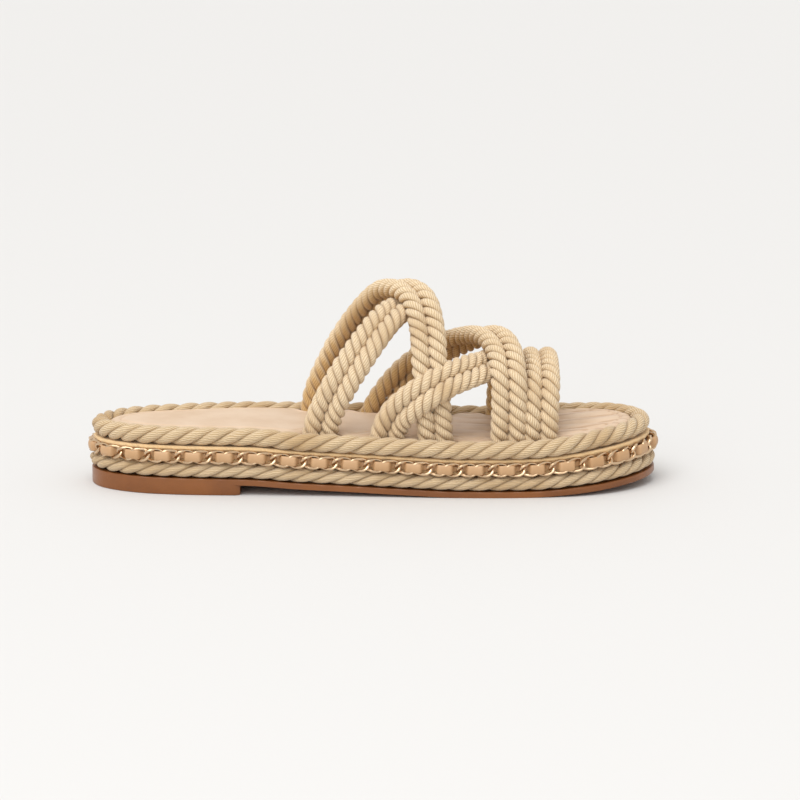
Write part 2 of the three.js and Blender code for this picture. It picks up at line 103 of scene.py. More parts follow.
bpy.ops.object.select_all(action="DESELECT")
bpy.ops.mesh.primitive_grid_add(
    x_subdivisions=FLOOR_CELLS, y_subdivisions=FLOOR_CELLS, size=FLOOR_SIZE, location=FLOOR_PLACE,
)
floor = bpy.context.object
floor.name = "floor"
bpy.ops.object.transform_apply(location=True)
paper, shader = new_material("floor_paper", Roughness=0.85)
shader.inputs["Base Color"].default_value = FLOOR_WHITE
floor.data.materials.append(paper)

world = bpy.data.worlds.new("studio")
world.use_nodes = True
world.node_tree.nodes["Background"].inputs["Color"].default_value = STUDIO_WHITE
world.node_tree.nodes["Background"].inputs["Strength"].default_value = STUDIO_STRENGTH
bpy.context.scene.world = world

bpy.ops.object.select_all(action="DESELECT")
bpy.ops.object.light_add(type="SUN", location=(0, 0, CEILING_HEIGHT), rotation=CEILING_LEAN)
ceiling = bpy.context.object
ceiling.name = "ceiling"
ceiling.data.energy = CEILING_STRENGTH
ceiling.data.angle = CEILING_SPREAD
bpy.ops.object.light_add(type="AREA", location=FRONT_PLACE, rotation=FRONT_LEAN)
front = bpy.context.object
front.name = "front"
front.data.shape = "DISK"
front.data.size = FRONT_SIZE
front.data.energy = FRONT_POWER

# ---------------------------------------------------------------- Outsole
# A thin brown leather sole under the whole shoe, a little lower than the ropes' overhang. It
# rises under the arch and at the toe, and its edge is burnished.
SHOE_LENGTH = 264 * MM
BALL_WIDTH = 86 * MM
HEEL_HEIGHT = 5.1 * MM
TOE_SPRING = 4.6 * MM
TOE_THICKENING = 2 * MM
THICKENING_START = 0.7
OUTSOLE_THICKNESS = 2.7 * MM
OUTSOLE_ROUND = 0.6 * MM
STACK_HEIGHT = 23.9 * MM  # outsole's underside to the footbed's top
# Round the sole from the heel along the inner side: share of the length, share of the width
OUTLINE = [
    (0.0, 0.0), (0.02, -0.17), (0.08, -0.3), (0.16, -0.36), (0.3, -0.385), (0.46, -0.407),
    (0.62, -0.435), (0.76, -0.435), (0.87, -0.39), (0.94, -0.28), (0.985, -0.12), (1.0, 0.04),
    (0.99, 0.2), (0.955, 0.37), (0.9, 0.49), (0.82, 0.545), (0.7, 0.565), (0.56, 0.552),
    (0.4, 0.505), (0.27, 0.44), (0.16, 0.37), (0.07, 0.285), (0.018, 0.16),
]
# Height of its underside: share of the length, of the heel height and of the toe spring
SOLE_LINE = [
    (0.0, 1.0, 0), (0.14, 0.98, 0), (0.28, 0.91, 0), (0.37, 0.62, 0), (0.46, 0.42, 0),
    (0.58, 0.14, 0), (0.65, 0, 0), (0.77, 0, 0), (0.87, 0, 0.34), (0.94, 0, 0.68), (1.0, 0, 1.0),
]


def smooth_line(corners, closed, count, fineness=40):
    """Equally spaced points along a smooth line through some corners, first to last"""
    corners = np.array(corners, float)
    if closed:
        rows = np.concatenate([corners[-1:], corners, corners[:2]])
    else:
        before, after = 2 * corners[:1] - corners[1:2], 2 * corners[-1:] - corners[-2:-1]
        rows = np.concatenate([before, corners, after])
    t = np.linspace(0, 1, fineness + 1)[:-1, None]
    fine = []
    for a, b, c, d in zip(rows, rows[1:], rows[2:], rows[3:]):
        ab, bc, cd = (max(np.linalg.norm(q - p) ** 0.5, 1e-6) for p, q in ((a, b), (b, c), (c, d)))
        leave = ((b - a) / ab - (c - a) / (ab + bc) + (c - b) / bc) * bc
        arrive = ((c - b) / bc - (d - b) / (bc + cd) + (d - c) / cd) * bc
        curve = b + leave * t + (3 * (c - b) - 2 * leave - arrive) * t**2
        fine.append(curve + (2 * (b - c) + leave + arrive) * t**3)
    fine = np.concatenate(fine + [corners[:1] if closed else corners[-1:]])
    gone = np.concatenate([[0], np.cumsum(np.linalg.norm(np.diff(fine, axis=0), axis=1))])
    even = np.linspace(0, gone[-1], count + 1)
    return np.stack([np.interp(even, gone, fine[:, k]) for k in range(fine.shape[1])], axis=1)


def from_table(rows, place, column):
    """A column of a table at some places, by a cubic that never overshoots its rows"""
    x = np.array([row[0] for row in rows])
    y = np.array([row[column] for row in rows], float)
    slope = np.diff(y) / np.diff(x)
    before, after = slope[:-1], slope[1:]
    both = np.where(before + after == 0, 1, before + after)
    mean = np.where(before * after > 0, 2 * before * after / both, 0)
    tangent = np.concatenate([slope[:1], mean, slope[-1:]])
    place = np.clip(place, x[0], x[-1])
    i = np.clip(np.searchsorted(x, place, side="right") - 1, 0, len(x) - 2)
    width = x[i + 1] - x[i]
    t = (place - x[i]) / width
    ends = y[i] * (1 + 2 * t) * (1 - t) ** 2 + y[i + 1] * t**2 * (3 - 2 * t)
    return ends + width * (tangent[i] * t * (1 - t) ** 2 - tangent[i + 1] * t**2 * (1 - t))


def sole_height(x):
    along = np.asarray(x) / SHOE_LENGTH
    return HEEL_HEIGHT * from_table(SOLE_LINE, along, 1) + TOE_SPRING * from_table(SOLE_LINE, along, 2)


EDGE_STEPS = 720
AHEAD_STEPS = 5
edge_line = smooth_line([(a * SHOE_LENGTH, b * BALL_WIDTH) for a, b in OUTLINE], True, EDGE_STEPS)
edge_ahead = np.roll(edge_line[:-1], -AHEAD_STEPS, axis=0) - np.roll(edge_line[:-1], AHEAD_STEPS, axis=0)
edge_ahead /= np.linalg.norm(edge_ahead, axis=1)[:, None]
edge_ahead = np.concatenate([edge_ahead, edge_ahead[:1]])
EDGE_LENGTH = np.linalg.norm(np.diff(edge_line, axis=0), axis=1).sum()
TOE_TURN = np.argmax(edge_line[:, 0]) / EDGE_STEPS
# The CAD model is centred on its footprint; its outsole says where the heel's back is
outsole_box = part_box("outsole")
HEEL_X = (outsole_box[0][0] + outsole_box[1][0] - edge_line[:, 0].min() - edge_line[:, 0].max()) / 2
MIDDLE_Y = (outsole_box[0][1] + outsole_box[1][1] - edge_line[:, 1].min() - edge_line[:, 1].max()) / 2


def edge_at(turn, outwards):
    """x and y of the sole's outline at a share of the way round it, moved outwards"""
    step = np.mod(turn, 1.0) * EDGE_STEPS
    steps = np.arange(EDGE_STEPS + 1)
    x, y, ahead_x, ahead_y = (
        np.interp(step, steps, row) for row in (*edge_line.T, *edge_ahead.T)
    )
    return x + ahead_y * outwards, y - ahead_x * outwards


SLOPE_REACH = 2 * MM


def on_sole(x, y, height):
    """A point at a height in the flat stack, carried onto the sole's curve"""
    x, y, height = np.broadcast_arrays(x, y, height)
    step = sole_height(x + SLOPE_REACH) - sole_height(x - SLOPE_REACH)
    slope = np.arctan(step / (2 * SLOPE_REACH))
    t = np.clip((x / SHOE_LENGTH - THICKENING_START) / (1 - THICKENING_START), 0, 1)
    risen = height * (1 + TOE_THICKENING * t * t * (3 - 2 * t) / STACK_HEIGHT)
    along = x - risen * np.sin(slope) + HEEL_X
    return np.stack([along, y + MIDDLE_Y, sole_height(x) + risen * np.cos(slope)], axis=-1)


def shaped_sheet(name, columns, rows, place_at):
    """A flat sheet of cells, moved to where place_at says, with the edges that meet welded"""
    bpy.ops.object.select_all(action="DESELECT")
    bpy.ops.mesh.primitive_grid_add(x_subdivisions=columns, y_subdivisions=rows, size=1)
    piece = bpy.context.object
    piece.name = name
    flat = np.empty(len(piece.data.vertices) * 3)
    piece.data.vertices.foreach_get("co", flat)
    flat = flat.reshape(-1, 3) + 0.5
    u = np.round(flat[:, 0] * columns).astype(int)
    v = np.round(flat[:, 1] * rows).astype(int)
    piece.data.vertices.foreach_set("co", np.ascontiguousarray(place_at(u, v), dtype=float).ravel())
    weld(piece)
    return piece


WELD_REACH = 0.005 * MM
SMOOTH_UP_TO = math.radians(40)


def weld(piece):
    """Joins corners that meet, turns the faces outwards and shades the piece smoothly"""
    bpy.ops.object.select_all(action="DESELECT")
    bpy.context.view_layer.objects.active = piece
    piece.select_set(True)
    bpy.ops.object.mode_set(mode="EDIT")
    bpy.ops.mesh.select_all(action="SELECT")
    bpy.ops.mesh.remove_doubles(threshold=WELD_REACH)
    bpy.ops.mesh.select_all(action="DESELECT")
    bpy.ops.mesh.select_mode(type="EDGE")
    bpy.ops.mesh.select_non_manifold(extend=False, use_wire=False, use_multi_face=False, use_verts=False)
    bpy.ops.mesh.fill_holes(sides=0)
    bpy.ops.mesh.select_all(action="SELECT")
    bpy.ops.mesh.normals_make_consistent(inside=False)
    bpy.ops.object.mode_set(mode="OBJECT")
    bpy.ops.object.shade_smooth_by_angle(angle=SMOOTH_UP_TO)


def joined(name, parts):
    """Several objects made one, under one name"""
    bpy.ops.object.select_all(action="DESELECT")
    for part in parts:
        part.select_set(True)
    bpy.context.view_layer.objects.active = parts[0]
    bpy.ops.object.join()
    bpy.context.object.name = name
    bpy.context.object.data.name = name
    return bpy.context.object


def finished(piece, material, slot, *nodes):
    """Gives a piece its material, hides the CAD parts that it stands for and hangs it on the body that it
    moves with; the slot is not used
    """
    piece.data.materials.clear()
    piece.data.materials.append(material)
    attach(piece, "root")
    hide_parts(*nodes)
    return piece


def closed_section(walls, across):
    """Rows of (side, edge, height): up the inner wall, over the top, down the outer and back"""
    spread = np.linspace(-1, 1, across + 1)[1:-1]
    section = [(-1, *row) for row in walls] + [(b, *walls[-1]) for b in spread]
    section += [(1, *row) for row in walls[::-1]] + [(b, *walls[0]) for b in spread[::-1]]
    return np.array(section + section[:1])


def sole_layer(name, walls, across=16, stations=150):
    """A closed layer of the sole, from its walls' rows of (edge, height) from the bottom up"""
    section = closed_section(walls, across)

    def place_at(u, v):
        side, edge, height = section[u].T
        share = v / stations
        inner = edge_at(share * TOE_TURN, edge)
        outer = edge_at(1 - share * (1 - TOE_TURN), edge)
        x, y = (a + (b - a) * (side + 1) / 2 for a, b in zip(inner, outer))
        return on_sole(x, y, height)

    return shaped_sheet(name, len(section) - 1, stations, place_at)


def surface_group(name, inputs):
    """A node group with its inputs' names and values; it gives a colour, height and roughness"""
    group = bpy.data.node_groups.new(name, "ShaderNodeTree")
    for socket, value in inputs.items():
        kind = "Color" if isinstance(value, tuple) else "Float"
        made = group.interface.new_socket(socket, in_out="INPUT", socket_type="NodeSocket" + kind)
        made.default_value = value
    for socket, kind in (("Colour", "Color"), ("Height", "Float"), ("Roughness", "Float")):
        group.interface.new_socket(socket, in_out="OUTPUT", socket_type="NodeSocket" + kind)
    return group


def surfaced(tree, shader, colour, height, roughness, strength, depth):
    """Joins a colour, a roughness and a height's bumps to a shader"""
    bump = node(tree, "Bump", {"Height": height, "Strength": strength, "Distance": depth})
    tree.links.new(colour, shader.inputs["Base Color"])
    tree.links.new(roughness, shader.inputs["Roughness"])
    tree.links.new(bump.outputs["Normal"], shader.inputs["Normal"])


def grouped_material(name, group, values, strength, depth, **constants):
    """A material whose surface comes from a node group, with the material's own values"""
    material, shader = new_material(name, **constants)
    pattern = material.node_tree.nodes.new("ShaderNodeGroup")
    pattern.node_tree = group
    for socket, value in values.items():
        pattern.inputs[socket].default_value = value
    colour, height, roughness = (pattern.outputs[k] for k in ("Colour", "Height", "Roughness"))
    surfaced(material.node_tree, shader, colour, height, roughness, strength, depth)
    return material


def leather_grain():
    """Fine pores and a soft mottle for leather, as a group with its own scale and depth"""
    group = surface_group("leather_grain", {
        "Colour": (0.5, 0.3, 0.2, 1), "Dark": (0.3, 0.15, 0.1, 1),
        "Pores": 900.0, "Mottle": 60.0, "Roughness": 0.5,
    })
    start = node(group, "TexCoord").outputs["Object"]
    given = group.nodes.new("NodeGroupInput").outputs
    pores = node(group, "TexVoronoi", {"Vector": start, "Scale": given["Pores"]}, feature="DISTANCE_TO_EDGE")
    soft = node(group, "MapRange", {"Value": pores.outputs["Distance"], "From Max": 0.25})
    mottle = node(group, "TexNoise", {"Vector": start, "Scale": given["Mottle"], "Detail": 4.0})
    worn = node(group, "MapRange", {"Value": mottle.outputs["Fac"], "From Min": 0.35, "From Max": 0.7})
    worn = worn.outputs[0]
    shade = node(group, "Mix", {0: worn, 6: given["Colour"], 7: given["Dark"]}, data_type="RGBA")
    rough = node(group, "Math", {0: worn, 1: 0.12, 2: given["Roughness"]}, operation="MULTIPLY_ADD")
    swell = {0: mottle.outputs["Fac"], 1: 1.5, 2: soft.outputs[0]}
    height = node(group, "Math", swell, operation="MULTIPLY_ADD")
    end = group.nodes.new("NodeGroupOutput").inputs
    group.links.new(shade.outputs[2], end["Colour"])
    group.links.new(height.outputs[0], end["Height"])
    group.links.new(rough.outputs[0], end["Roughness"])
    return group


LEATHER_GRAIN = leather_grain()


GRAIN_DEPTH = 0.2 * MM


def leather(name, colour, dark, pores, roughness, strength, **constants):
    """Leather of a colour and its darker mottle, with pores to the metre"""
    values = {"Colour": (*colour, 1), "Dark": (*dark, 1), "Pores": pores, "Roughness": roughness}
    return grouped_material(name, LEATHER_GRAIN, values, strength, GRAIN_DEPTH, **constants)


SOLE_BROWN = (0.24, 0.079, 0.014)
SOLE_DARK = (0.18, 0.056, 0.0095)
SOLE_LEATHER = leather("sole_leather", SOLE_BROWN, SOLE_DARK, 700, 0.34, 0.12, Coat_Weight=0.1)
outsole = sole_layer("outsole_leather", [
    (-OUTSOLE_ROUND, 0),
    (-0.25 * OUTSOLE_ROUND, 0.06 * OUTSOLE_ROUND),
    (0, 0.35 * OUTSOLE_ROUND),
    (0, OUTSOLE_THICKNESS - OUTSOLE_ROUND / 2),
    (-OUTSOLE_ROUND / 2, OUTSOLE_THICKNESS),
])
finished(outsole, SOLE_LEATHER, "sole_leather", "outsole")

# ---------------------------------------------------------------- Heel block
# A low block of stacked leather under the back of the sole, flat on the floor, with a straight
# breast whose corners are eased.
HEEL_BLOCK_LENGTH = 71 * MM
HEEL_EASE = 1.2 * MM
HEEL_ROWS = 60
HEEL_LAP = 0.22 * MM  # of its top over the outsole's rounded edge, so that they read as one
HEEL_TOP = -1  # stands for the height of the outsole's underside, which changes along the block
HEEL_SECTION = closed_section(
    [(-0.7 * MM, 0), (-0.2 * MM, 0.2 * MM), (0, 0.7 * MM), (0, HEEL_TOP)], 12,
)
HEEL_TURNS = np.linspace(0, 0.25, 400)


def heel_place(u, v):
    """The block's section across the shoe, from its bottom's inner corner round and back"""
    side, edge, height = HEEL_SECTION[u].T
    share = v / HEEL_ROWS
    x = HEEL_BLOCK_LENGTH * share**2
    inner_x, inner_y = edge_at(HEEL_TURNS, 0)
    outer_x, outer_y = edge_at(-HEEL_TURNS, 0)
    left = np.clip((HEEL_BLOCK_LENGTH - x) / HEEL_EASE, 0, 1)
    eased = edge - HEEL_EASE * (1 - np.sqrt(1 - (1 - left) ** 2))
    inner = np.interp(x, inner_x, inner_y) - eased
    outer = np.interp(x, outer_x, outer_y) + eased
    outer, inner = np.maximum(outer, 0), np.minimum(inner, 0)
    y = inner + (outer - inner) * (side + 1) / 2
    z = np.where(height == HEEL_TOP, sole_height(x) + HEEL_LAP, height)
    return np.stack([x + HEEL_X, y + MIDDLE_Y, z], axis=-1)


heel_block = shaped_sheet("heel_leather", len(HEEL_SECTION) - 1, HEEL_ROWS, heel_place)
finished(heel_block, SOLE_LEATHER, "sole_leather", "heel_block")

# ---------------------------------------------------------------- Lower rope
# A fat three-strand cotton rope, laid left-handed, glued round the edge of the outsole and
# pressed a little flat between it and the band above.
SEAT_GAP = 0.3 * MM
LOWER_ROPE_WIDTH = 8.2 * MM
LOWER_ROPE_HEIGHT = 6.6 * MM
LOWER_ROPE_PROUD = 1.0 * MM
LOWER_ROPE_MIDDLE = LOWER_ROPE_PROUD - LOWER_ROPE_WIDTH / 2
LOWER_ROPE_LAY = 26.5 * MM
LOWER_ROPE_RISE = OUTSOLE_THICKNESS + SEAT_GAP + LOWER_ROPE_HEIGHT / 2
RAND_STEPS = 620
RAND_SIDES = 14
STRANDS = 3
STRAND_REACH = 0.5  # of the rope's half width: its middle's distance, and half its thickness
STRAND_BREADTH = 0.6
WANDER, WANDERS, WANDER_SHIFT = 0.05, 0.37, 0.3  # of a strand: how far, times a lay, and its start
SWELL, SWELLS, SWELL_SHIFT = 0.035, 1.7, 0.41
YARN_SHIFT = 17.3


def wave(share, times, shift):
    return np.sin(2 * math.pi * (round(times) * share + shift))


def laid_rope(name, centres, sides, ups, width, height, lay, around, whole=False):
    """Three strands wound round a row of centres; sides and ups give the rope's section there"""
    steps = len(centres) - 1
    length = np.linalg.norm(np.diff(centres, axis=0), axis=1).sum()
    lays = length / lay
    if whole:
        lays = round(lays)
    parts = []
    for strand in range(STRANDS):
        def place_at(u, v):
            share = v / steps
            turn = 2 * math.pi * u / around
            wander = WANDER * wave(share, lays * WANDERS, WANDER_SHIFT * strand)
            angle = 2 * math.pi * (strand / STRANDS - lays * share) + wander
            swell = 1 + SWELL * wave(share, lays * SWELLS, SWELL_SHIFT * strand)
            out = STRAND_REACH + STRAND_REACH * np.cos(turn) * swell
            beside = STRAND_BREADTH * np.sin(turn) * swell
            a = (out * np.cos(angle) - beside * np.sin(angle)) * width / 2
            b = (out * np.sin(angle) + beside * np.cos(angle)) * height / 2
            return centres[v] + sides[v] * a[:, None] + ups[v] * b[:, None]

        part = shaped_sheet(f"{name}_{strand}", around, steps, place_at)
        uvs = np.empty(len(part.data.loops) * 2)
        part.data.uv_layers[0].data.foreach_get("uv", uvs)
        uvs = uvs.reshape(-1, 2)
        uvs[:, 1] = uvs[:, 1] * lays + YARN_SHIFT * strand
        part.data.uv_layers[0].data.foreach_set("uv", uvs.ravel())
        parts.append(part)
    return joined(name, parts)


def rope_round_sole(name, edge, height, width, tall, lay):
    """A rope laid round the sole at a distance from its edge and a height in the stack"""
    turn = np.arange(RAND_STEPS + 1) / RAND_STEPS
    middle = edge(turn)
    centres = on_sole(*edge_at(turn, middle), height)
    centres[-1] = centres[0]
    outside = on_sole(*edge_at(turn, middle + MM), height)
    sides = outside - centres
    sides[-1] = sides[0]
    ahead = np.roll(centres[:-1], -1, axis=0) - np.roll(centres[:-1], 1, axis=0)
    ahead = np.concatenate([ahead, ahead[:1]])
    ahead /= np.linalg.norm(ahead, axis=1)[:, None]
    sides -= ahead * (sides * ahead).sum(axis=1)[:, None]
    sides /= np.linalg.norm(sides, axis=1)[:, None]
    return laid_rope(name, centres, sides, np.cross(ahead, sides), width, tall, lay, RAND_SIDES, True)


def twisted_yarn():
    """Yarns that run along the rope on each strand, with painted shade between the yarns and in the grooves
    where the strands meet
    """
    group = surface_group("twisted_yarn", {
        "Light": (0.8, 0.65, 0.45, 1), "Warm": (0.7, 0.5, 0.3, 1), "Groove_shade": (0.4, 0.25, 0.12, 1),
        "Yarns": 18.0, "Turns": 1.7,
    })
    given = group.nodes.new("NodeGroupInput").outputs
    coords = node(group, "TexCoord").outputs
    place = node(group, "SeparateXYZ", {0: coords["UV"]}).outputs
    loose = {"Vector": coords["Object"], "Scale": 420.0, "Detail": 3.0}
    fray = node(group, "TexNoise", loose).outputs["Fac"]
    shifted = node(group, "Math", {0: place["Y"], 1: given["Turns"]}, operation="MULTIPLY").outputs[0]
    yarn = node(group, "Math", {0: place["X"], 1: shifted}, operation="SUBTRACT").outputs[0]
    phase = node(group, "Math", {0: yarn, 1: given["Yarns"]}, operation="MULTIPLY").outputs[0]
    uneven = node(group, "Math", {0: fray, 1: 1.3, 2: phase}, operation="MULTIPLY_ADD").outputs[0]
    round_yarn = node(group, "Math", {0: uneven, 1: 0.5}, operation="PINGPONG").outputs[0]
    full = node(
        group, "MapRange", {"Value": round_yarn, "From Max": 0.42}, interpolation_type="SMOOTHSTEP",
    ).outputs[0]
    # Painted shade: the side of each strand that faces the rope's middle, where it meets the others, turns
    # towards the groove shade colour
    turned = node(group, "Math", {0: place["X"], 1: 2 * math.pi}, operation="MULTIPLY").outputs[0]
    facing = node(group, "Math", {0: turned}, operation="COSINE").outputs[0]
    painted_shade = {"Value": facing, "From Min": 0.2, "From Max": -0.7, "To Max": 0.7}
    groove_shade = node(group, "MapRange", painted_shade).outputs[0]
    patches = {"Vector": coords["Object"], "Scale": 45.0, "Detail": 2.0}
    patchy = node(group, "TexNoise", patches).outputs["Fac"]
    stain = node(group, "MapRange", {"Value": patchy, "From Min": 0.42, "From Max": 0.75}).outputs[0]
    # Painted shade between the yarns: the warm colour where each yarn's crown falls away; the same warm
    # colour also marks the real stain patches
    yarn_gap_shade = node(group, "MapRange", {"Value": full, "To Min": 1.0, "To Max": 0.0}).outputs[0]
    stains_and_yarn_shade = node(group, "Math", {0: stain, 1: yarn_gap_shade}, operation="MAXIMUM").outputs[0]
    body = node(group, "Mix", {0: stains_and_yarn_shade, 6: given["Light"], 7: given["Warm"]}, data_type="RGBA").outputs[2]
    shade = node(group, "Mix", {0: groove_shade, 6: body, 7: given["Groove_shade"]}, data_type="RGBA").outputs[2]
    raised = node(group, "Math", {0: fray, 1: 0.5, 2: full}, operation="MULTIPLY_ADD").outputs[0]
    end = group.nodes.new("NodeGroupOutput").inputs
    group.links.new(shade, end["Colour"])
    group.links.new(raised, end["Height"])
    rough = node(group, "MapRange", {"Value": fray, "To Min": 0.8, "To Max": 0.98}).outputs[0]
    group.links.new(rough, end["Roughness"])
    return group


TWISTED_YARN = twisted_yarn()


YARN_STRENGTH = 0.8
YARN_DEPTH = 0.3 * MM
# The dark gold painted as shade into the grooves where the strands meet
COTTON_GROOVE_SHADE = (0.335, 0.19, 0.058)


def cotton(name, light, warm, yarns, turns):
    """Cotton of a light and a warm colour, with yarns to a strand and their turns to a lay"""
    values = {"Light": (*light, 1), "Warm": (*warm, 1), "Groove_shade": (*COTTON_GROOVE_SHADE, 1)}
    values |= {"Yarns": yarns, "Turns": turns}
    return grouped_material(
        name, TWISTED_YARN, values, YARN_STRENGTH, YARN_DEPTH,
        Sheen_Weight=0.25, Sheen_Roughness=0.5, Specular_IOR_Level=0.25,
    )


RAND_LIGHT = (0.70, 0.55, 0.36)
RAND_WARM = (0.50, 0.335, 0.17)
RAND_COTTON = cotton("rand_cotton", RAND_LIGHT, RAND_WARM, 15, 1.7)


def lower_edge(turn):
    return np.full(len(turn), LOWER_ROPE_MIDDLE)


lower_rope = rope_round_sole(
    "lower_rope_laid", lower_edge, LOWER_ROPE_RISE, LOWER_ROPE_WIDTH, LOWER_ROPE_HEIGHT, LOWER_ROPE_LAY,
)
finished(lower_rope, RAND_COTTON, "cotton_rope", "lower_rope")

# ---------------------------------------------------------------- Midsole
# The platform's core, wrapped in a beige woven band that shows above the chain. The upper rope
# is sewn down on its shoulder.
TRIM_BASE = OUTSOLE_THICKNESS + LOWER_ROPE_HEIGHT + 2 * SEAT_GAP
TRIM_HEIGHT = 6.4 * MM
BAND_SHOWING = 1.1 * MM
BAND_EDGE = -3.15 * MM
BAND_ROLL = 2 * MM  # how far it rolls out below the upper rope
CORE_EDGE = LOWER_ROPE_PROUD - LOWER_ROPE_WIDTH - SEAT_GAP
SHOULDER = TRIM_BASE + TRIM_HEIGHT + BAND_SHOWING
band = sole_layer("wrapped_band", [
    (CORE_EDGE, OUTSOLE_THICKNESS + SEAT_GAP),
    (CORE_EDGE, TRIM_BASE),
    (BAND_EDGE, TRIM_BASE),
    (BAND_EDGE, SHOULDER - 3.2 * MM),
    (BAND_EDGE + 1.2 * MM, SHOULDER - 1.9 * MM),
    (BAND_EDGE + BAND_ROLL, SHOULDER - 1.0 * MM),
    (BAND_EDGE + BAND_ROLL, SHOULDER - 0.2 * MM),
    (BAND_EDGE + 1.2 * MM, SHOULDER + 0.2 * MM),
    (BAND_EDGE - 0.8 * MM, SHOULDER),
])


BAND_BEIGE = (0.88, 0.64, 0.36, 1)
BAND_SOILED = (0.75, 0.52, 0.265, 1)


def woven_band():
    """A close plain weave in beige cotton, with soft soiling"""
    material, shader = new_material("woven_band", Sheen_Weight=0.2, Specular_IOR_Level=0.25)
    tree = material.node_tree
    place = node(tree, "TexCoord").outputs["Object"]
    threads = {"Vector": place, "Scale": 380.0, "Distortion": 2.0}
    weave = node(tree, "TexWave", threads, bands_direction="DIAGONAL").outputs["Fac"]
    mottle = node(tree, "TexNoise", {"Vector": place, "Scale": 120.0, "Detail": 4.0}).outputs["Fac"]
    colour = node(tree, "Mix", {0: mottle, 6: BAND_BEIGE, 7: BAND_SOILED}, data_type="RGBA").outputs[2]
    rough = node(tree, "MapRange", {"Value": mottle, "To Min": 0.75, "To Max": 0.95}).outputs[0]
    surfaced(tree, shader, colour, weave, rough, 0.4, 0.2 * MM)
    return material


finished(band, woven_band(), "wrapped_core", "midsole")

# ---------------------------------------------------------------- Chain
# A pale gilt curb chain round the platform: every oval link is twisted, so that it lies flat
# against the next one with one end over it and the other under it.
LINK_WIRE = 1.45 * MM
LINK_LENGTH = 10.5 * MM
LINK_HEIGHT = 6.9 * MM
LINK_TWIST = 1.1 * MM
CHAIN_MIDDLE = -0.25 * MM
LINK_RISE = TRIM_BASE + TRIM_HEIGHT / 2
TONGUE_PITCH = 14.4 * MM  # of the ribbon's tongues, one to every two links
LINKS = 2 * round(EDGE_LENGTH / TONGUE_PITCH)
LINK_PITCH = EDGE_LENGTH / LINKS
LINK_STEPS = 20
WIRE_SIDES = 8


def chain_link(u, v):
    """One straight link of the chain: x along it, y out of the shoe, z up"""
    turn = 2 * math.pi * v / LINK_STEPS
    a, b = (LINK_LENGTH - LINK_WIRE) / 2, (LINK_HEIGHT - LINK_WIRE) / 2
    centre = np.stack([a * np.cos(turn), -LINK_TWIST * np.sin(2 * turn), b * np.sin(turn)], axis=-1)
    ahead = np.stack([-a * np.sin(turn), -2 * LINK_TWIST * np.cos(2 * turn), b * np.cos(turn)], axis=-1)
    ahead /= np.linalg.norm(ahead, axis=1)[:, None]
    out = np.cross(ahead, (0, 1, 0))
    out /= np.linalg.norm(out, axis=1)[:, None]
    front = np.cross(out, ahead)
    spin = 2 * math.pi * u / WIRE_SIDES
    return centre + LINK_WIRE / 2 * (out * np.cos(spin)[:, None] + front * np.sin(spin)[:, None])


def round_platform(piece, rise, middle, start=0.0):
    """Bends a straight piece round the platform: x runs along the edge, y outwards, z up"""
    place = np.empty(len(piece.data.vertices) * 3)
    piece.data.vertices.foreach_get("co", place)
    x, y, z = place.reshape(-1, 3).T
    bent = on_sole(*edge_at((x + start) / EDGE_LENGTH, y + middle), z + rise)
    piece.data.vertices.foreach_set("co", bent.ravel())
    piece.data.update()


def repeated(piece, count, step):
    """A row of copies of a piece, a step apart along x, as one mesh"""
    row = piece.modifiers.new("row", "ARRAY")
    row.count = count
    row.use_relative_offset = False
    row.use_constant_offset = True
    row.constant_offset_displace = (step, 0, 0)
    bpy.context.view_layer.objects.active = piece
    bpy.ops.object.modifier_apply(modifier="row")


chain = shaped_sheet("gilt_chain", WIRE_SIDES, LINK_STEPS, chain_link)
repeated(chain, LINKS, LINK_PITCH)
round_platform(chain, LINK_RISE, CHAIN_MIDDLE, LINK_PITCH / 2)


GILT_BRIGHT = (0.84, 0.63, 0.42, 1)
GILT_DULL = (0.54, 0.365, 0.215, 1)


def gilt():
    """Pale rose gilt with fine rubbing marks"""
    material, shader = new_material("pale_gilt", Metallic=1.0)
    tree = material.node_tree
    place = node(tree, "TexCoord").outputs["Object"]
    rub = node(tree, "TexNoise", {"Vector": place, "Scale": 900.0, "Detail": 5.0}).outputs["Fac"]
    dull = node(tree, "TexNoise", {"Vector": place, "Scale": 70.0}).outputs["Fac"]
    colour = node(tree, "Mix", {0: dull, 6: GILT_BRIGHT, 7: GILT_DULL}, data_type="RGBA").outputs[2]
    rough = node(tree, "MapRange", {"Value": rub, "To Min": 0.12, "To Max": 0.34}).outputs[0]
    surfaced(tree, shader, colour, rub, rough, 0.15, 0.1 * MM)
    return material


finished(chain, gilt(), "gilt_metal", "chain")

# ---------------------------------------------------------------- Leather lace
# A nude leather ribbon woven through the chain: it comes out over every second meeting of two
# links as a padded tongue, and goes back behind the next one.
LACE_SHOWN = 4.5 * MM
LACE_PINCHED = 2.6 * MM
LACE_FRONT = 1.2 * MM
LACE_BEHIND = -1.75 * MM
LACE_HALF_THICK = 0.45 * MM
LACE_CROWN = 0.45 * MM
LACE_SNAP = 4.5  # how sharply it turns from behind the chain to the front
LACE_IN_FRONT = 0.12  # a little more of it lies in front than behind
LACE_CELLS = 30
LACE_SECTION = 20


def lace_turn(u, v):
    """One turn of the ribbon, from behind one meeting of links to behind the next but one"""
    share = v / LACE_CELLS
    forward = (np.tanh(LACE_SNAP * (np.cos(2 * math.pi * (share - 0.5)) + LACE_IN_FRONT)) + 1) / 2
    middle = LACE_BEHIND + (LACE_FRONT - LACE_BEHIND) * forward
    half = (LACE_PINCHED + (LACE_SHOWN - LACE_PINCHED) * forward) / 2
    spin = 2 * math.pi * u / LACE_SECTION
    z = half * np.sign(np.cos(spin)) * np.abs(np.cos(spin)) ** 0.55
    thick = LACE_HALF_THICK * np.sign(np.sin(spin)) * np.abs(np.sin(spin)) ** 0.7
    crown = LACE_CROWN * forward * (1 - (z / half) ** 2)
    return np.stack([2 * LINK_PITCH * share, middle + thick + crown, z], axis=-1)


